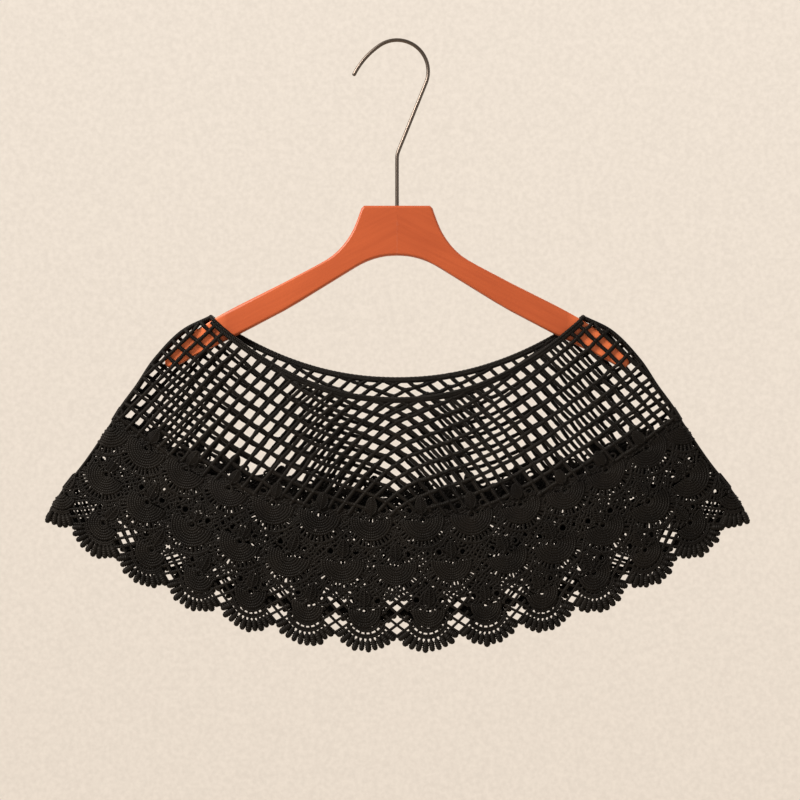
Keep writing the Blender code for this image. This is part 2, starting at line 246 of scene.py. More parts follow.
def blackCotton():
    # mercerised cotton yarn, spun from plies and crocheted: soft shine along the twist
    made, tree = newMaterial("mercerised cotton yarn, black, crocheted")
    place = addNode(tree, "ShaderNodeTexCoord").outputs["Object"]
    along, around = (
        addNode(tree, "ShaderNodeAttribute", attribute_name=name).outputs["Fac"]
        for name in ("along", "around")
    )
    twist = 1 / (yarnFinish["twist"] * mm)
    turns = addNode(tree, "ShaderNodeMath", {0: along, 1: twist}, operation="MULTIPLY")
    winding = addNode(tree, "ShaderNodeMath", {0: turns, 1: around}, operation="ADD")
    angle = addNode(tree, "ShaderNodeMath", {0: winding, 1: 2 * math.pi}, operation="MULTIPLY")
    plies = addNode(tree, "ShaderNodeMath", {0: angle}, operation="SINE")
    fuzz, cloud = (
        addNode(
            tree, "ShaderNodeTexNoise",
            {"Vector": place, "Scale": 1 / (yarnFinish[size] * mm), "Detail": detail},
        )
        for size, detail in (("fuzz", 3.0), ("cloud", 2.0))
    )
    mixed = addNode(tree, "ShaderNodeMath", {0: cloud, 1: 0.7}, operation="MULTIPLY")
    shade = addNode(tree, "ShaderNodeMath", {0: fuzz, 1: 0.45, 2: mixed}, operation="MULTIPLY_ADD")
    colours = addNode(tree, "ShaderNodeValToRGB", {"Fac": shade})
    for i, tone in enumerate(("dark", "light")):
        colours.color_ramp.elements[i].position = yarnFinish["stops"][i]
        colours.color_ramp.elements[i].color = linear(yarnFinish[tone])
    height = addNode(tree, "ShaderNodeMath", {0: fuzz, 1: 0.8, 2: plies}, operation="MULTIPLY_ADD")
    shader = addNode(
        tree, "ShaderNodeBsdfPrincipled",
        {
            "Base Color": colours,
            "Roughness": yarnFinish["roughness"],
            "IOR": yarnFinish["ior"],
            "Sheen Weight": 0.03,
            "Sheen Roughness": 0.45,
            "Sheen Tint": linear(yarnFinish["sheen"]),
        },
    )
    finishShader(tree, shader, height, yarnFinish["relief"] * mm, 0.8)
    return made


woodFinish = {
    "light": "#bd5a30",
    "dark": "#a84b25",
    "stops": (0.25, 0.75),  # where the dark ends and where the light is full
    "ends": "#ec7a48",  # painted light: the wood under the yoke is painted lighter to make up for the net's shade on it
    "paintedLightAt": (160.0, 176.0),  # mm from the middle, where that tone begins and where it is full
    "grain": 2.4,  # mm between two grain lines
    "stretch": (0.05, 0.6, 1.0),  # the grain is drawn out along the arm
    "waves": 70.0,  # mm, slow change of tone along the arm
    "tilt": 27.0,  # degrees that an arm slopes, which the grain follows
    "roughness": 0.46,
    "relief": 0.12,  # mm
}


def lacqueredWood(name, hand, tone):
    # sanded hardwood under an orange lacquer: fine grain, satin shine
    made, tree = newMaterial(name)
    place = addNode(tree, "ShaderNodeTexCoord").outputs["Object"]
    tilt = -hand * math.radians(woodFinish["tilt"])
    turned = addNode(tree, "ShaderNodeMapping", {"Vector": place, "Rotation": (0, tilt, 0)})
    stretched = addNode(tree, "ShaderNodeMapping", {"Vector": turned, "Scale": woodFinish["stretch"]})
    grain = addNode(
        tree, "ShaderNodeTexNoise",
        {"Vector": stretched, "Scale": 1 / (woodFinish["grain"] * mm), "Detail": 4.0},
    )
    waves = addNode(
        tree, "ShaderNodeTexNoise",
        {"Vector": place, "Scale": 1 / (woodFinish["waves"] * mm), "Detail": 1.0},
    )
    part = addNode(tree, "ShaderNodeMath", {0: grain, 1: 0.55, 2: tone}, operation="MULTIPLY_ADD")
    mixed = addNode(tree, "ShaderNodeMath", {0: waves, 1: 0.45, 2: part}, operation="MULTIPLY_ADD")
    colours = addNode(tree, "ShaderNodeValToRGB", {"Fac": mixed})
    for i, shade in enumerate(("dark", "light")):
        colours.color_ramp.elements[i].position = woodFinish["stops"][i]
        colours.color_ramp.elements[i].color = linear(woodFinish[shade])
    # painted light: towards the arms' ends, under the yoke, the wood is mixed to a lighter tone that
    # makes up for the net's shade
    parts = addNode(tree, "ShaderNodeSeparateXYZ", {0: place})
    aside = addNode(tree, "ShaderNodeMath", {0: parts}, operation="ABSOLUTE")
    first, full = (away * mm for away in woodFinish["paintedLightAt"])
    paintedLightMask = addNode(tree, "ShaderNodeMapRange", {"Value": aside, "From Min": first, "From Max": full})
    woodWithPaintedLight = addNode(
        tree, "ShaderNodeMix", {"Factor": paintedLightMask, 6: colours, 7: linear(woodFinish["ends"])},
        data_type="RGBA",
    )
    shader = addNode(
        tree, "ShaderNodeBsdfPrincipled",
        {
            "Base Color": woodWithPaintedLight.outputs[2],
            "Roughness": woodFinish["roughness"],
            "IOR": 1.42,
            "Coat Weight": 0.12,
            "Coat Roughness": 0.25,
        },
    )
    finishShader(tree, shader, grain, woodFinish["relief"] * mm, 0.25)
    return made


wireFinish = {
    "metal": "#68605a",
    "roughness": 0.36,
    "lines": 90.0,  # radians of the drawing lines' wave round the wire
    "wander": 1.2,  # mm, how often the lines stray
    "relief": 0.004,  # mm
}


def platedWire():
    # drawn steel wire, nickel plated and polished: faint lines along it
    made, tree = newMaterial("drawn steel wire, nickel plated")
    place = addNode(tree, "ShaderNodeTexCoord").outputs["Object"]
    around = addNode(tree, "ShaderNodeAttribute", attribute_name="around")
    draw = addNode(
        tree, "ShaderNodeTexNoise",
        {"Vector": place, "Scale": 1 / (wireFinish["wander"] * mm), "Detail": 3.0},
    )
    lines = addNode(
        tree, "ShaderNodeMath",
        {0: around.outputs["Fac"], 1: wireFinish["lines"], 2: draw},
        operation="MULTIPLY_ADD",
    )
    wave = addNode(tree, "ShaderNodeMath", {0: lines}, operation="SINE")
    shader = addNode(
        tree, "ShaderNodeBsdfPrincipled",
        {
            "Base Color": linear(wireFinish["metal"]),
            "Metallic": 1.0,
            "Roughness": wireFinish["roughness"],
        },
    )
    finishShader(tree, shader, wave, wireFinish["relief"] * mm, 0.08)
    return made


# Geometry Nodes: cords along paths, with knots and wound fingers on chosen points


def laceTree():
    tree = bpy.data.node_groups.new("cords, knots and fingers", "GeometryNodeTree")
    for label, kind in (
        ("Geometry", "Geometry"), ("Cord Radius", "Float"), ("Cord Sides", "Int"),
        ("Knot Radius", "Float"), ("Finger Radius", "Float"), ("Finger Length", "Float"),
        ("Finger Turns", "Float"), ("Yarn", "Material"),
    ):
        tree.interface.new_socket(label, in_out="INPUT", socket_type="NodeSocket" + kind)
    tree.interface.new_socket("Geometry", in_out="OUTPUT", socket_type="NodeSocketGeometry")
    size = addNode(tree, "NodeGroupInput").outputs
    given = {}
    for label, kind in (
        ("thick", "FLOAT"), ("aim", "FLOAT_VECTOR"), ("isKnot", "BOOLEAN"), ("isFinger", "BOOLEAN"),
    ):
        reader = addNode(tree, "GeometryNodeInputNamedAttribute", {"Name": label}, data_type=kind)
        given[label] = reader.outputs[0]

    def tube(curve, radius, sides):
        # a cord along a curve; its length and girth are kept for the twist of the yarn
        measured = addNode(tree, "GeometryNodeSplineParameter").outputs
        ring = addNode(tree, "GeometryNodeCurvePrimitiveCircle", {"Resolution": sides, "Radius": 1.0})
        kept = []
        for label, line, value in (
            ("along", curve, measured["Length"]), ("around", ring.outputs[0], measured["Factor"]),
        ):
            store = addNode(
                tree, "GeometryNodeStoreNamedAttribute",
                {"Geometry": line, "Name": label, "Value": value}, data_type="FLOAT", domain="POINT",
            )
            kept.append(store.outputs[0])
        return addNode(
            tree, "GeometryNodeCurveToMesh",
            {"Curve": kept[0], "Profile Curve": kept[1], "Scale": radius, "Fill Caps": True},
        ).outputs[0]

    # cords
    radius = addNode(
        tree, "ShaderNodeMath", {0: given["thick"], 1: size["Cord Radius"]}, operation="MULTIPLY"
    )
    lines = addNode(tree, "GeometryNodeMeshToCurve", {"Mesh": size["Geometry"]})
    cords = tube(lines.outputs[0], radius.outputs[0], size["Cord Sides"])

    # one finger, wound with yarn, along Z: full in the middle, round at its ends
    top = addNode(tree, "ShaderNodeCombineXYZ", {"Z": size["Finger Length"]})
    line = addNode(tree, "GeometryNodeCurvePrimitiveLine", {"Start": (0, 0, 0), "End": top})
    points = addNode(tree, "GeometryNodeResampleCurve", {"Curve": line, "Count": 17})
    share = addNode(tree, "GeometryNodeSplineParameter").outputs["Factor"]
    swing = addNode(tree, "ShaderNodeMath", {0: share, 1: 2.0, 2: -1.0}, operation="MULTIPLY_ADD")
    fourth = addNode(tree, "ShaderNodeMath", {0: swing, 1: 4.0}, operation="POWER")
    rest = addNode(tree, "ShaderNodeMath", {0: 1.03, 1: fourth}, operation="SUBTRACT")
    body = addNode(tree, "ShaderNodeMath", {0: rest}, operation="SQRT")
    winds = addNode(tree, "ShaderNodeMath", {0: share, 1: size["Finger Turns"]}, operation="MULTIPLY")
    wave = addNode(tree, "ShaderNodeMath", {0: winds}, operation="SINE")
    ribbed = addNode(tree, "ShaderNodeMath", {0: wave, 1: 0.09, 2: 1.0}, operation="MULTIPLY_ADD")
    shaped = addNode(tree, "ShaderNodeMath", {0: body, 1: ribbed}, operation="MULTIPLY")
    thick = addNode(tree, "ShaderNodeMath", {0: shaped, 1: size["Finger Radius"]}, operation="MULTIPLY")
    finger = tube(points.outputs[0], thick.outputs[0], 7)

    # knots and fingers on their points, each a little other than the next
    upright = addNode(tree, "FunctionNodeAlignRotationToVector", {"Vector": given["aim"]}, axis="Z")
    grown = addNode(tree, "FunctionNodeRandomValue", {2: 0.9, 3: 1.12, "Seed": 5}, data_type="FLOAT")
    bead = addNode(tree, "GeometryNodeMeshIcoSphere", {"Radius": size["Knot Radius"], "Subdivisions": 2})
    turned = addNode(
        tree, "FunctionNodeRandomValue",
        {"Min": (0, 0, 0), "Max": (6.28, 6.28, 6.28), "Seed": 8}, data_type="FLOAT_VECTOR",
    )
    stretched = addNode(
        tree, "FunctionNodeRandomValue",
        {"Min": (0.85, 0.8, 0.75), "Max": (1.25, 1.1, 1.0), "Seed": 9}, data_type="FLOAT_VECTOR",
    )
    joined = addNode(tree, "GeometryNodeJoinGeometry", {0: cords})
    for chosen, shape, rotation, scale in (
        ("isFinger", finger, upright, grown.outputs[1]),
        ("isKnot", bead, turned, stretched),
    ):
        placed = addNode(
            tree, "GeometryNodeInstanceOnPoints",
            {
                "Points": size["Geometry"],
                "Selection": given[chosen],
                "Instance": shape,
                "Rotation": rotation,
                "Scale": scale,
            },
        )
        tree.links.new(placed.outputs[0], joined.inputs[0])
    solid = addNode(tree, "GeometryNodeRealizeInstances", {0: joined})
    smooth = addNode(tree, "GeometryNodeSetShadeSmooth", {0: solid})
    painted = addNode(tree, "GeometryNodeSetMaterial", {"Geometry": smooth, "Material": size["Yarn"]})
    addNode(tree, "NodeGroupOutput", {0: painted})
    return tree


def guideMesh(name, work):
    # the paths as edges, and the knots and fingers as loose points
    points = []
    edges = []
    thick = []
    for line, widths in work["paths"]:
        first = len(points)
        points += line
        thick += widths
        edges += [(first + i, first + i + 1) for i in range(len(line) - 1)]
    firstKnot = len(points)
    points += work["knots"]
    firstFinger = len(points)
    points += [place for place, _ in work["fingers"]]
    mesh = bpy.data.meshes.new(name)
    mesh.from_pydata(points, edges, [])
    count = len(points)
    aims = [0.0] * (3 * firstFinger)
    for _, aim in work["fingers"]:
        aims += list(aim)
    for label, kind, field, values in (
        ("thick", "FLOAT", "value", thick + [1.0] * (count - len(thick))),
        ("aim", "FLOAT_VECTOR", "vector", aims),
        ("isKnot", "BOOLEAN", "value", [firstKnot <= i < firstFinger for i in range(count)]),
        ("isFinger", "BOOLEAN", "value", [i >= firstFinger for i in range(count)]),
    ):
        mesh.attributes.new(label, kind, "POINT").data.foreach_set(field, values)
    return mesh


def newObject(name, data):
    made = bpy.data.objects.new(name, data)
    bpy.context.scene.collection.objects.link(made)
    return made


def plainPiece(name, holder):
    # the holder's evaluated mesh becomes the piece, and the holder goes with its modifier
    graph = bpy.context.evaluated_depsgraph_get()
    mesh = bpy.data.meshes.new_from_object(holder.evaluated_get(graph))
    mesh.name = name
    bpy.data.objects.remove(holder)
    piece = newObject(name, mesh)
    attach(piece, "root")
    print(name, sum(len(face.vertices) - 2 for face in mesh.polygons), "triangles")
    return piece


def workPiece(name, work, tree, material, cord, sides, more=None):
    # grow cords of this radius, and what more says, on the guide
    sizes = {"Cord Radius": cord * mm, "Cord Sides": sides, "Yarn": material, **(more or {})}
    holder = newObject(name + " guide", guideMesh(name + " guide", work))
    grown = holder.modifiers.new("yarn", "NODES")
    grown.node_group = tree
    for item in tree.interface.items_tree:
        if item.in_out == "INPUT" and item.name in sizes:
            grown[item.identifier] = sizes[item.name]
    return plainPiece(name, holder)


def newWork():
    return {"paths": [], "knots": [], "fingers": []}


def addPath(work, side, places, out, thick=1.0):
    # a cord through places on the cloth; it ends where it passes a side fold or an edge
    runs = [[]]
    for i, (column, row) in enumerate(places):
        if abs(column) > shawl["columns"] or not 0 <= row <= shawl["hem"] + 0.2:
            runs.append([])
            continue
        width = thick[i] if isinstance(thick, list) else thick
        height = out[i] if isinstance(out, list) else out
        runs[-1].append((onCloth(side, column, row, height), width))
    for run in runs:
        if len(run) > 1:
            work["paths"].append(([p for p, _ in run], [w for _, w in run]))


# The diamond net of the yoke

net = {
    "cord": 1.92,  # radius in mm
    "knot": 2.5,  # radius in mm
    "out": 1.6,  # mm from the inside of the cloth
    "cellWidth": 18.9,  # mm
    "middleWidth": 2.5,  # mm that a cell gains under the middle of the neck
    "middleReach": 2.5,  # cells
    "narrowing": 0.03,  # mm a cell loses for each row squared
    "middleRow": 10.6,  # height of a cell under the neck
    "rowGrowth": 0.3,
    "sideRow": 17.2,  # height of a cell at the sides
    "sideReach": 4.2,  # cells from the middle to where the cells are square
    "droop": {"front": 3.5, "back": 5.42},  # mm that a row falls for each cell from the middle
    "shift": {"front": 0.0, "back": 0.35},  # cells, so that the two nets don't cover each other
    "span": 24,  # cells from the middle, more than reach an edge
    "steps": 5,  # points for each side of a cell
    "sag": 0.5,  # mm
    "wander": 0.7,  # mm that a knot strays
    "uneven": 0.12,  # share of a cord's thickness
    "end": (4.66, 0.1),  # row where the net gives way to the lace, and its wave from fan to fan
    # cords beside a side cord that close the cloth: columns from the fold, mm lower, share of thickness
    "foldCords": ((0.02, 0.0, 1.0), (0.004, 0.8, 0.95)),
}


def laceTop(column):
    # the lace reaches highest at each leaf of the first row, where columns are halves
    return net["end"][0] + net["end"][1] * math.cos(2 * math.pi * column)


def netPlace(side, c, r):
    # x and drop of a place c cells across and r cells down
    x = c * (net["cellWidth"] - net["narrowing"] * r * r)
    x += net["middleWidth"] * net["middleReach"] * math.tanh(c / net["middleReach"])
    square = 1 - math.exp(-((c / net["sideReach"]) ** 2))
    middle = net["middleRow"] * r + net["rowGrowth"] * r * r
    drop = shawl["rows"][0][2] - side["lift"] + (1 - square) * middle + square * net["sideRow"] * r
    return x, drop + net["droop"][side["name"]] * (math.sqrt(c * c + 1) - 1)


def addFoldCords(work, side, first, count, thick):
    for inset, lower, share in net["foldCords"]:
        for hand in (-1, 1):
            edge = hand * (shawl["columns"] - inset)
            places = [(edge, first + 0.05 * i) for i in range(count)]
            addPath(work, side, places, net["out"] - lower, thick * share)


def buildNet(side, tree, yarn):
    rng = random.Random(side["seed"])
    work = newWork()
    strayed = {}
    shift = net["shift"][side["name"]]
    steps, span = net["steps"], net["span"]

    def knotAt(p, q):
        if (p, q) not in strayed:
            strayed[(p, q)] = [rng.uniform(-net["wander"], net["wander"]) for _ in range(2)]
        return strayed[(p, q)]

    def at(family, line, t):
        # t cells along a cord; p counts one family of cords, q the other, and corners are whole
        p, q = (line, t) if family == 0 else (t, line)
        x, drop = netPlace(side, 0.5 * (q - p) + shift, 0.5 * (q + p))
        a, b = math.floor(p), math.floor(q)
        s, t = p - a, q - b
        near, far = knotAt(a, b), knotAt(a + (s > 0), b + (t > 0))
        share = max(s, t)
        x += near[0] + (far[0] - near[0]) * share
        drop += near[1] + (far[1] - near[1]) * share
        drop += net["sag"] * math.sin(math.pi * share)
        column, row, width = placeOf(side, x, drop)
        inside = width < 0.998 and 0.02 < row < laceTop(column) + 0.15
        return column, row, inside

    for family in (0, 1):
        for line in range(-span, span + 1):
            run = []
            widths = []
            wasInside = False
            for k in range(-span * steps, span * steps + 1):
                t = k / steps
                column, row, inside = at(family, line, t)
                if inside != wasInside:
                    # the end of the cord, found by halving
                    low, high = (t - 1 / steps, t) if inside else (t, t - 1 / steps)
                    for _ in range(6):
                        half = 0.5 * (low + high)
                        if at(family, line, half)[2]:
                            high = half
                        else:
                            low = half
                    run.append(at(family, line, high)[:2])
                    widths.append(1.0)
                wasInside = inside
                if inside:
                    run.append((column, row))
                    widths.append(1.0 + net["uneven"] * rng.uniform(-1, 1))
                    if family == 0 and k % steps == 0:
                        work["knots"].append(onCloth(side, column, row, net["out"]))
                if run and (not inside or k == span * steps):
                    if len(run) > 2:
                        addPath(work, side, run, net["out"], widths)
                    run = []
                    widths = []
    addFoldCords(work, side, 0.0, 96, 1.15)
    underNeck = [(0.125 * i, 0.09) for i in range(-51, 52)]
    addPath(work, side, underNeck, net["out"], 1.1)
    knots = {"Knot Radius": net["knot"] * mm}
    return workPiece("netYoke" + side["name"].title(), work, tree, yarn, net["cord"], 7, knots)


# The fan lace

fans = {
    "rows": (5, 6, 7),
    "lastWhole": 6.4,  # column past which the side fold cuts a fan
    "turn": 7.0,  # degrees that a fan leans by chance
    "lean": 1.3,  # degrees that it leans for each column from the middle
    "shift": 0.03,  # columns and rows that it strays
    "sizes": (0.95, 1.05),
    "ridges": 7,
    "hemRidges": 5,
    "firstRidge": 5.0,  # mm from the eye
    "pitch": 2.28,  # mm between two ridges
    "sweep": 96.0,  # degrees from straight down
    "cord": 1.5,  # radius in mm
    "fine": 0.95,  # thickness of the eye, the ladder and the ribs, as a share
    "wander": 0.14,  # mm that a stitch strays from its ridge
    "stitch": 1.5,  # mm between two stitches of a ridge
    "bumps": (-0.12, 0.1),  # every other stitch is thinner or thicker
    "uneven": 0.06,
    "out": 1.35,  # mm from the inside of the cloth
    "dome": 1.0,  # mm that the middle of a fan stands out
    "eye": 3.3,  # radius in mm
    "ladderIn": 20.0,  # mm from the eye to the rungs, and to the cord that ends them
    "ladderOut": 26.2,
    "ladderSweep": 62.0,  # degrees
    "rungs": 15,
    # up: mm from the eye to the middle of its leaf; wide and high: half its size
    "leaf": {"up": 12.6, "wide": 4.7, "high": 7.6, "ribs": 6, "raised": 0.0},
    "topLeaf": {"up": 14.6, "wide": 4.9, "high": 8.8, "ribs": 8, "raised": 1.1},
    "leafCord": 1.0,  # radius in mm
    "pinch": 0.18,  # share that a leaf is slimmer at its tip and wider at its foot
}
ground = {
    "cord": {"front": 1.28, "back": 1.42},  # radius in mm
    "out": 1.0,  # mm from the inside of the cloth
    "rows": (4.3, 7.02),
    "across": 10,  # meshes for one column
    "down": 9,  # meshes for one row
    "jitter": 0.16,  # share of a mesh
    "eyelet": 3.7,  # radius in mm
    "eyeletAt": (11.8, -9.5),  # mm beside and above the eye of a fan
    # mm round a fan's eye that stay free of the mesh; nothing past "reach" is looked at
    "reach": 26,
    "freeHem": 14.8,
    "freeFan": 17.5,
    "freeLadder": 25,
    "freeLeaf": (3.6, 6.5),
    "valley": 0.235,  # columns between two cords of the trellis
    "slant": 0.85,  # columns for each row
    "crossing": 7.3,  # row where the trellis crosses in the middle of its valley
    "valleyRows": (6.78, 6.98, 7.66),  # top, waist and bottom of the trellis
    "valleyTop": 0.21,  # half width above the waist, in columns
    "valleyFree": 0.62,  # radius in a scallop, as a share, that the trellis keeps out of
    "cornerFree": 0.5,  # the same past the scallop's last finger
}
hem = {
    "centre": 0.12,  # rows from the eye down to the middle of a scallop
    "limit": 57.5,  # degrees that a scallop reaches to each side
    "cord": 1.05,  # radius in mm
    "fingers": 10,
    "finger": 2.95,  # radius in mm
    "fingerLong": 11.8,  # mm
    "winds": 5.5,  # turns of the yarn round a finger
    "root": 0.66,  # where a finger starts and ends, as a share of the scallop's radius
    "tip": 0.98,
    "rings": ((0.355, 1.45), (0.415, 1.36), (0.53, 1.25), (0.59, 1.15)),  # share of radius and sweep
    "ringSteps": 26,
    "ringThick": 1.2,
    "spokes": 9,  # between the second ring and the third
    "out": 1.5,  # mm from the inside of the cloth
}


def fanColumns(row):
    # the middle row is staggered by half a fan
    last = 6 if row == fans["rows"][1] else 6.5
    return [i - last for i in range(int(2 * last) + 1)]


def fanCentres(side):
    # every fan with its own small turn, shift and size
    rng = random.Random(side["seed"] + 20)
    found = []
    last, shift, chance = fans["lastWhole"], fans["shift"], fans["turn"]
    for row in fans["rows"]:
        for column in fanColumns(row):
            near = min(last, max(-last, column))
            edge = abs(column) > last
            lean = 0.0 if edge else rng.uniform(-chance, chance) + fans["lean"] * column
            found.append(
                {
                    "column": column + (0 if edge else rng.uniform(-shift, shift)),
                    "row": row + rng.uniform(-shift, shift),
                    "along": scalesAt(side, near, row)[0],
                    "above": scalesAt(side, near, row - 0.2)[1],
                    "below": scalesAt(side, near, row + 0.3)[1],
                    "turn": math.radians(lean),
                    "size": rng.uniform(*fans["sizes"]),
                    "hem": row == fans["rows"][-1],
                    "leaf": fans["leaf" if edge or row > fans["rows"][0] else "topLeaf"],
                }
            )
    return found


def fanPlace(fan, u, v):
    # millimetres right of and below the eye, to a column and row
    u, v = u * fan["size"], v * fan["size"]
    c, s = math.cos(fan["turn"]), math.sin(fan["turn"])
    across, drop = u * c + v * s, v * c - u * s
    scale = fan["below" if drop > 0 else "above"]
    return fan["column"] + across / fan["along"], fan["row"] + drop / scale


def arcPlaces(fan, radius, sweep, step, rng=None):
    # an arc round the eye, sweep degrees to each side of straight down
    count = max(6, round(2 * math.radians(sweep) * radius / step))
    places = []
    for i in range(count + 1):
        turn = math.radians(sweep) * (2 * i / count - 1)
        away = radius + (rng.uniform(-fans["wander"], fans["wander"]) if rng else 0.0)
        places.append(fanPlace(fan, away * math.sin(turn), away * math.cos(turn)))
    return places


def buildFans(side, centres, tree, yarn):
    # an eye, raised ridges round it and a ladder of rungs below them
    work = newWork()
    rng = random.Random(side["seed"] + 40)
    out, fine, uneven = fans["out"], fans["fine"], fans["uneven"]
    reach = fans["firstRidge"] + fans["pitch"] * (fans["ridges"] - 1)
    for fan in centres:
        addPath(work, side, arcPlaces(fan, fans["eye"], 178, 1.4), out + 0.3, fine)
        for ridge in range(fans["hemRidges"] if fan["hem"] else fans["ridges"]):
            radius = fans["firstRidge"] + ridge * fans["pitch"]
            places = arcPlaces(fan, radius, fans["sweep"], fans["stitch"], rng)
            widths = [
                1.0 + fans["bumps"][i % 2] + rng.uniform(-uneven, uneven) for i in range(len(places))
            ]
            height = out + fans["dome"] * (1 - (radius / (reach + 3)) ** 2)
            addPath(work, side, places, height, widths)
        if fan["hem"]:
            continue
        places = arcPlaces(fan, fans["ladderOut"], fans["ladderSweep"], 2.6)
        addPath(work, side, places, out - 0.2, fine)
        for i in range(fans["rungs"]):
            t = math.radians(fans["ladderSweep"]) * (2 * i / (fans["rungs"] - 1) - 1)
            t += rng.uniform(-0.02, 0.02)
            ends = (fans["ladderIn"] - 1, fans["ladderOut"])
            rung = [fanPlace(fan, r * math.sin(t), r * math.cos(t)) for r in ends]
            addPath(work, side, rung, out - 0.3, fine)
    return workPiece("fanLace" + side["name"].title(), work, tree, yarn, fans["cord"], 6)


def buildLeaves(side, centres, tree, yarn):
    # above each eye an outline, a stalk down to the fan, and ribs that sag in the middle
    work = newWork()
    for fan in centres:
        up, wide, high, count, raised = fan["leaf"].values()
        low = fans["out"] + raised
        outline = []
        for i in range(17):
            t = 2 * math.pi * i / 16
            pinch = 1 - fans["pinch"] * math.cos(t)
            outline.append(fanPlace(fan, wide * pinch * math.sin(t), -up - high * math.cos(t)))
        addPath(work, side, outline, low + 0.7, 1.05)
        stalk = [fanPlace(fan, 0, v) for v in (-up - high, high - up, -4)]
        addPath(work, side, stalk, [low + 1.5, low + 1.5, fans["out"] + 1.5], 0.9)
        for rib in range(count):
            share = (rib + 0.5) / count * 2 - 1
            half = wide * math.sqrt(1 - share * share) * (1 + fans["pinch"] * share)
            v = -up + high * share * 0.86
            line = [fanPlace(fan, u, v + sag) for u, sag in ((-half, -1.4), (0, 0.8), (half, -1.4))]
            addPath(work, side, line, [low + 0.7, low + 1.4, low + 0.7], fans["fine"])
    return workPiece("leafRibs" + side["name"].title(), work, tree, yarn, fans["leafCord"], 6)


def scallopSize():
    # the row of a scallop's middle, half its width in columns and its height in rows
    centre = fans["rows"][-1] + hem["centre"]
    return centre, 0.5 / math.sin(math.radians(hem["limit"])), shawl["hem"] - centre


def hemPlace(column, turn, radius):
    # on the scallop round a hem fan, radius 1 being the hem itself
    centre, half, high = scallopSize()
    return column + half * radius * math.sin(turn), centre + high * radius * math.cos(turn)


def buildHem(side, tree, yarn):
    # rings round each scallop, spokes between two of them, and fingers on short stems
    work = newWork()
    rng = random.Random(side["seed"] + 80)
    limit = math.radians(hem["limit"])
    rings, count, out = hem["rings"], hem["ringSteps"], hem["out"]
    for column in fanColumns(fans["rows"][-1]):
        for radius, sweep in rings:
            turns = [limit * sweep * (2 * i / count - 1) for i in range(count + 1)]
            addPath(work, side, [hemPlace(column, turn, radius) for turn in turns], out, hem["ringThick"])
        for i in range(hem["spokes"]):
            turn = limit * rings[2][1] * (2 * i / (hem["spokes"] - 1) - 1) + rng.uniform(-0.03, 0.03)
            spoke = [hemPlace(column, turn, ring[0]) for ring in rings[1:3]]
            addPath(work, side, spoke, out - 0.2, 1.15)
        for i in range(hem["fingers"]):
            turn = limit * (2 * (i + 0.5) / hem["fingers"] - 1)
            tip = hemPlace(column, turn, hem["tip"])
            if abs(tip[0]) > shawl["columns"] - 0.03:
                continue
            stem = [hemPlace(column, turn, radius) for radius in (rings[-1][0], hem["root"] + 0.04)]
            addPath(work, side, stem, out, 1.4)
            first = onCloth(side, *hemPlace(column, turn, hem["root"]), out + 0.3)
            last = onCloth(side, *tip, out + 0.3)
            work["fingers"].append((first, (last - first).normalized()))
    fingers = {
        "Finger Radius": hem["finger"] * mm,
        "Finger Length": hem["fingerLong"] * mm,
        "Finger Turns": hem["winds"] * 2 * math.pi,
    }
    return workPiece("hemFingers" + side["name"].title(), work, tree, yarn, hem["cord"], 6, fingers)


def openValley(column, row):
    # true outside the rings of the nearest scallop, which is 1 in radius at the hem
    centre, half, high = scallopSize()
    aside = abs(column - math.floor(column) - 0.5) / half
    below = (row - centre) / high
    corner = math.degrees(math.atan2(aside, below)) > hem["limit"]
    return math.hypot(aside, below) > ground["cornerFree" if corner else "valleyFree"]


def buildValleys(side, work):
    # the open trellis between two hem fans
    pitch = ground["valley"]
    top, waist, bottom = ground["valleyRows"]
    for middle in range(-6, 7):
        for hand in (-1, 1):
            for k in range(-6, 7):
                run = []
                for i in range(33):
                    row = top + (bottom - top) * i / 32
                    leaning = hand * ground["slant"] * (row - ground["crossing"])
                    column = middle + pitch * k + leaning
                    wide = ground["valleyTop"] if row < waist else 0.5
                    if abs(column - middle) < wide and openValley(column, row):
                        run.append((column, row))
                if len(run) > 1:
                    addPath(work, side, run, ground["out"] + 0.2, 1.05)


def insideFan(centres, column, row):
    # true where a fan, its ladder, a leaf or an eyelet takes the place of the ground
    wide, high = ground["freeLeaf"]
    for fan in centres:
        u = (column - fan["column"]) * fan["along"]
        v = (row - fan["row"]) * fan["below" if row > fan["row"] else "above"]
        if abs(u) > ground["reach"] or abs(v) > ground["reach"]:
            continue
        away = math.hypot(u, v)
        if v > -1 and away < ground["freeHem" if fan["hem"] else "freeFan"]:
            return True
        if v > 0.5 * away and away < ground["freeLadder"] and not fan["hem"]:
            return True
        if (u / wide) ** 2 + ((v + fan["leaf"]["up"]) / high) ** 2 < 1:
            return True
        if math.hypot(abs(u) - ground["eyeletAt"][0], v - ground["eyeletAt"][1]) < ground["eyelet"]:
            return True
    return False


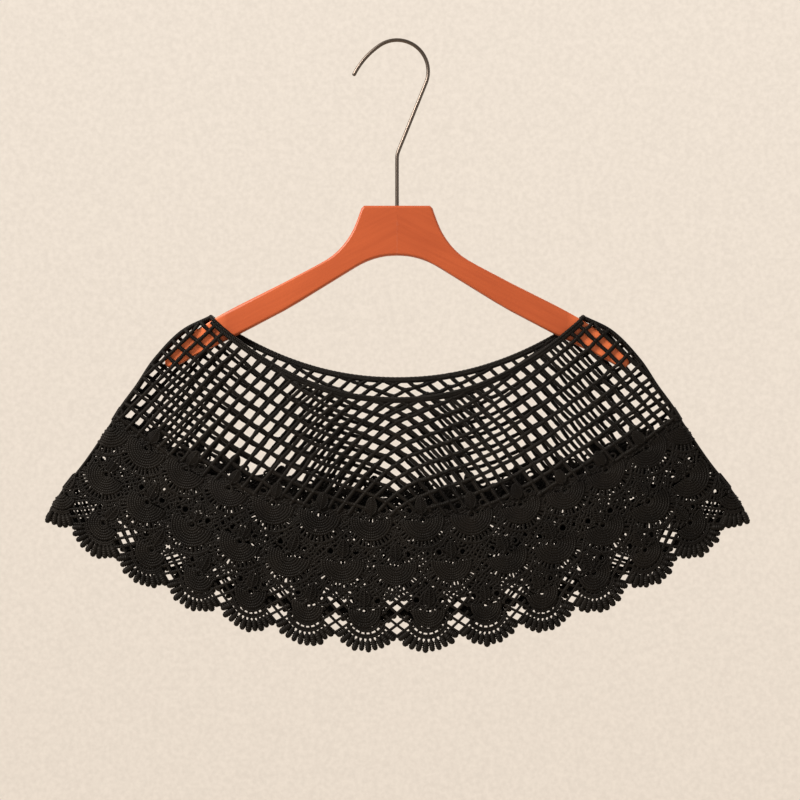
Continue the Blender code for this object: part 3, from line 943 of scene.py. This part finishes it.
def buildGround(side, centres, tree, yarn):
    # the fine mesh between the fans
    rng = random.Random(side["seed"] + 60)
    work = newWork()
    across, down = ground["across"], ground["down"]
    spots = {}

    def spot(i, j):
        if (i, j) not in spots:
            wander = ground["jitter"] / across * 2
            spots[(i, j)] = (
                0.5 * i / across + rng.uniform(-wander, wander),
                0.5 * j / down + rng.uniform(-wander, wander),
            )
        return spots[(i, j)]

    lastColumn = int(2 * across * shawl["columns"])
    firstRow, lastRow = (int(2 * down * row) for row in ground["rows"])
    for i in range(-lastColumn, lastColumn + 1):
        for j in range(firstRow, lastRow + 1):
            if (i + j) % 2:
                continue
            here = spot(i, j)
            for hand in (-1, 1):
                there = spot(i + hand, j + 1)
                middle = (0.5 * (here[0] + there[0]), 0.5 * (here[1] + there[1]))
                if here[1] < laceTop(here[0]) - 0.03 or insideFan(centres, *middle):
                    continue
                aside = abs(middle[0] - round(middle[0]))
                if middle[1] > ground["valleyRows"][0] and aside < ground["valleyTop"] - 0.02:
                    continue
                addPath(work, side, [here, there], ground["out"], rng.uniform(0.85, 1.1))
    buildValleys(side, work)
    addFoldCords(work, side, 4.6, 63, 1.27)
    (beside, above), eyelet = ground["eyeletAt"], ground["eyelet"]
    turns = [2 * math.pi * i / 12 for i in range(13)]
    for fan in centres:
        for hand in (-1, 1):
            u = hand * beside
            ring = [fanPlace(fan, u + eyelet * math.sin(t), above + eyelet * math.cos(t)) for t in turns]
            addPath(work, side, ring, ground["out"] + 0.3, 0.9)
    cord = ground["cord"][side["name"]]
    return workPiece("groundMesh" + side["name"].title(), work, tree, yarn, cord, 5)


# Edge cords

edges = {
    "neck": 1.9,  # radius in mm
    "seam": 1.3,  # radius in mm
    "seamOut": 0.8,  # mm that a side cord stands off the inside of the fold
    "gap": 0.3,  # mm between the two neck cords where they meet
}


def neckPlaces():
    # columns along the neck, closer where the cord turns round a side fold
    inner = [i * 0.125 for i in range(51)]
    turning = [shawl["columns"] - shawl["foldColumns"] * share for share in (1, 0.66, 0.34, 0.1, 0)]
    half = inner + turning
    return [-column for column in reversed(half) if column > 0] + half


def buildNeckCord(side, tree, yarn):
    # a chain of stitches round the neck, over the hanger's arms
    work = newWork()
    radius = edges["neck"]
    line = [onCloth(side, column, 0.0, radius) for column in neckPlaces()]
    # both ends point straight at the other neck cord
    for end in (0, -1):
        line[end].y = side["facing"] * (0.5 * edges["gap"] + 1.0) * mm
    finer = [a.lerp(b, k / 3) for a, b in zip(line, line[1:]) for k in range(3)] + [line[-1]]
    level = Vector((0, side["facing"] * mm, 0))
    finer = [finer[0] - level] + finer + [finer[-1] - level]
    widths = [1.0 + 0.07 * math.sin(1.9 * i) for i in range(len(finer))]
    work["paths"].append((finer, widths))
    return workPiece("neckCord" + side["name"].title(), work, tree, yarn, radius * 0.97, 10)


def buildSideCord(hand, tree, yarn):
    # down a side fold, halfway between the front and the back
    work = newWork()
    line = []
    limit = hand * shawl["columns"]
    for i in range(91):
        row = 0.1 + (shawl["hem"] - 0.1) * i / 90
        out = outwardAt(front, limit, row)
        out.y = 0.0
        place = innerPoint(front, limit, row) + edges["seamOut"] * out.normalized()
        place.y = 0.0
        line.append(place * mm)
    widths = [1.0 + 0.09 * math.sin(1.7 * i) for i in range(len(line))]
    work["paths"].append((line, widths))
    name = "sideCordRight" if hand > 0 else "sideCordLeft"
    return workPiece(name, work, tree, yarn, edges["seam"], 8)


# Hanger

# lengths and radii in mm, turns in degrees, from the wood to the tip
hook = {
    "wire": 1.8,
    "bore": 20.0,
    "shank": 39.9,
    "bend": 21.0,
    "slant": 22.0,
    "slantLength": 68.9,
    "radius": 29.5,
    "turn": 147.0,
    "tipRadius": 75.0,
    "tipTurn": 28.0,
    "rounding": ((0.7, 0.86), (1.1, 0.6), (1.25, 0.25)),  # mm past the tip, share of thickness
    "step": 3.0,  # degrees of a bend between two points
}


def buildHook(tree, steel):
    # from inside the wood up the shank, over the top and down to the tip
    runs = (  # length or radius, turn to the right
        (hook["bore"] - 1.0, 0.0),
        (hook["shank"], 0.0),
        (hook["bend"], hook["slant"]),
        (hook["slantLength"], 0.0),
        (hook["radius"], -hook["turn"]),
        (hook["tipRadius"], -hook["tipTurn"]),
    )
    points = [Vector((0, 0, 0))]
    heading = 0.0
    for size, turn in runs:
        steps = max(1, math.ceil(abs(turn) / hook["step"]))
        for _ in range(steps):
            bend = math.radians(turn / steps)
            chord = 2 * size * math.sin(abs(bend) / 2) if turn else size
            middle = heading + bend / 2
            points.append(points[-1] + chord * Vector((math.sin(middle), 0, math.cos(middle))))
            heading += bend
    rise = max(place.z for place in points) - hook["wire"]
    line = [(place - Vector((0, 0, rise))) * mm for place in points]
    ending = Vector((math.sin(heading), 0, math.cos(heading))) * mm
    widths = [1.0] * len(line)
    for out, width in hook["rounding"]:
        line.append(line[len(points) - 1] + out * ending)
        widths.append(width)
    work = newWork()
    work["paths"].append((line, widths))
    return workPiece("hookWire", work, tree, steel, hook["wire"], 16)


def buildWood(node, name, wood):
    # the hanger half, merged and shaded smooth, its inner end drawn up to the seam
    mesh = bpy.data.objects[node].data.copy()
    bm = bmesh.new()
    bm.from_mesh(mesh)
    bmesh.ops.remove_doubles(bm, verts=bm.verts[:], dist=0.02 * mm)
    for vertex in bm.verts:
        if abs(vertex.co.x) < 0.3 * mm:
            vertex.co.x *= 0.1
    bmesh.ops.dissolve_limit(bm, angle_limit=math.radians(1), verts=bm.verts[:], edges=bm.edges[:])
    bm.to_mesh(mesh)
    bm.free()
    mesh.materials.clear()
    mesh.materials.append(wood)
    mesh.shade_smooth()
    mesh.set_sharp_from_angle(angle=math.radians(40))
    holder = newObject(name + " guide", mesh)
    flat = holder.modifiers.new("flat faces stay flat", "WEIGHTED_NORMAL")
    flat.weight = 100
    flat.keep_sharp = True
    return plainPiece(name, holder)


# Studio, in metres

studio = {
    "lens": 85.0,  # mm
    "sensor": 36.0,  # mm
    "distance": 1.787,
    "aimX": 0.0028,
    "aimZ": -0.3387,
    "floorDrop": 1.55,
    "floorRadius": 3.2,
    "floor": "#cfc3b4",
    "wallHigh": "#f0e3d4",
    "wallLow": "#e9dbcb",
    "dim": 0.42,  # strength of the room behind the camera
    "plaster": 430.0,  # grain of the room, for a whole turn of the view
    "mottle": (0.955, 1.045),  # its darkest and its lightest
    "lights": (  # name, place, size, watts, colour
        ("key", (-1.5, -1.15, 1.0), 0.7, 79, "#fff6ea"),
        ("fill", (1.5, -1.6, -0.1), 1.4, 5, "#fffaf4"),
        ("backLight", (0.9, 1.5, 0.6), 1.4, 10, "#fff8f0"),
    ),
}


def buildStudio():
    # camera, floor, soft lights and an even pale room round it all
    camera = newObject("camera", bpy.data.cameras.new("camera"))
    camera.data.lens = studio["lens"]
    camera.data.sensor_width = studio["sensor"]
    camera.location = (studio["aimX"], -studio["distance"], studio["aimZ"])
    camera.rotation_euler = (math.radians(90), 0, 0)
    bpy.context.scene.camera = camera
    bpy.ops.mesh.primitive_circle_add(
        vertices=96, radius=studio["floorRadius"], fill_type="NGON",
        location=(0, 0, -studio["floorDrop"]),
    )
    floor = bpy.context.object
    floor.name = "floor"
    paint, tree = newMaterial("pale matt floor")
    shader = addNode(
        tree, "ShaderNodeBsdfPrincipled", {"Base Color": linear(studio["floor"]), "Roughness": 0.9}
    )
    addNode(tree, "ShaderNodeOutputMaterial", {"Surface": shader})
    floor.data.materials.append(paint)
    for name, place, size, power, colour in studio["lights"]:
        lamp = newObject(name, bpy.data.lights.new(name, "AREA"))
        lamp.data.size = size
        lamp.data.energy = power
        lamp.data.color = linear(colour)[:3]
        lamp.location = place
        aim = Vector((0, 0, studio["aimZ"])) - Vector(place)
        lamp.rotation_euler = aim.to_track_quat("-Z", "Y").to_euler()
    world = bpy.data.worlds.new("studio")
    world.use_nodes = True
    tree = world.node_tree
    sky = tree.nodes["Background"]
    place = addNode(tree, "ShaderNodeTexCoord").outputs["Generated"]
    parts = addNode(tree, "ShaderNodeSeparateXYZ", {0: place})
    height, depth = (
        addNode(tree, "ShaderNodeMapRange", {0: parts.outputs[axis], 1: low, 2: high, 3: first, 4: 1.0})
        for axis, low, high, first in ((2, -0.22, 0.22, 0.0), (1, -0.6, 0.7, studio["dim"]))
    )
    wall = addNode(
        tree, "ShaderNodeMix",
        {"Factor": height, 6: linear(studio["wallLow"]), 7: linear(studio["wallHigh"])},
        data_type="RGBA",
    )
    plaster = addNode(
        tree, "ShaderNodeTexNoise", {"Vector": place, "Scale": studio["plaster"], "Detail": 2.0}
    )
    dark, light = studio["mottle"]
    mottle = addNode(tree, "ShaderNodeMapRange", {0: plaster, 1: 0.3, 2: 0.7, 3: dark, 4: light})
    shade = addNode(
        tree, "ShaderNodeVectorMath", {0: wall.outputs[2], "Scale": mottle}, operation="SCALE"
    )
    tree.links.new(shade.outputs[0], sky.inputs["Color"])
    tree.links.new(depth.outputs[0], sky.inputs["Strength"])
    bpy.context.scene.world = world
    bpy.context.scene.view_settings.view_transform = "Standard"


buildStudio()
print("studio done")
yarn = blackCotton()
steel = platedWire()
lace = laceTree()

hookWire = buildHook(lace, steel)
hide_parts("hook")
for node, hand, tone in (("hanger_left", -1, 0.02), ("hanger_right", 1, -0.03)):
    which = node.split("_")[1]
    wood = lacqueredWood("orange lacquered hardwood, " + which, hand, tone)
    half = buildWood(node, "hanger" + which.title(), wood)
    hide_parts(node)
print("hanger done")

for hand, node in ((-1, "side_cord_left"), (1, "side_cord_right")):
    cord = buildSideCord(hand, lace, yarn)
    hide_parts(node)

for side in (front, back):
    name = side["name"]
    neck = buildNeckCord(side, lace, yarn)
    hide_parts("neck_cord_" + name)
    yoke = buildNet(side, lace, yarn)
    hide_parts("net_yoke_" + name)
    centres = fanCentres(side)
    fanLace = buildFans(side, centres, lace, yarn)
    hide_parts("lace_border_" + name)
    leaves = buildLeaves(side, centres, lace, yarn)
    groundMesh = buildGround(side, centres, lace, yarn)
    fingers = buildHem(side, lace, yarn)
    print(name, "lace done")
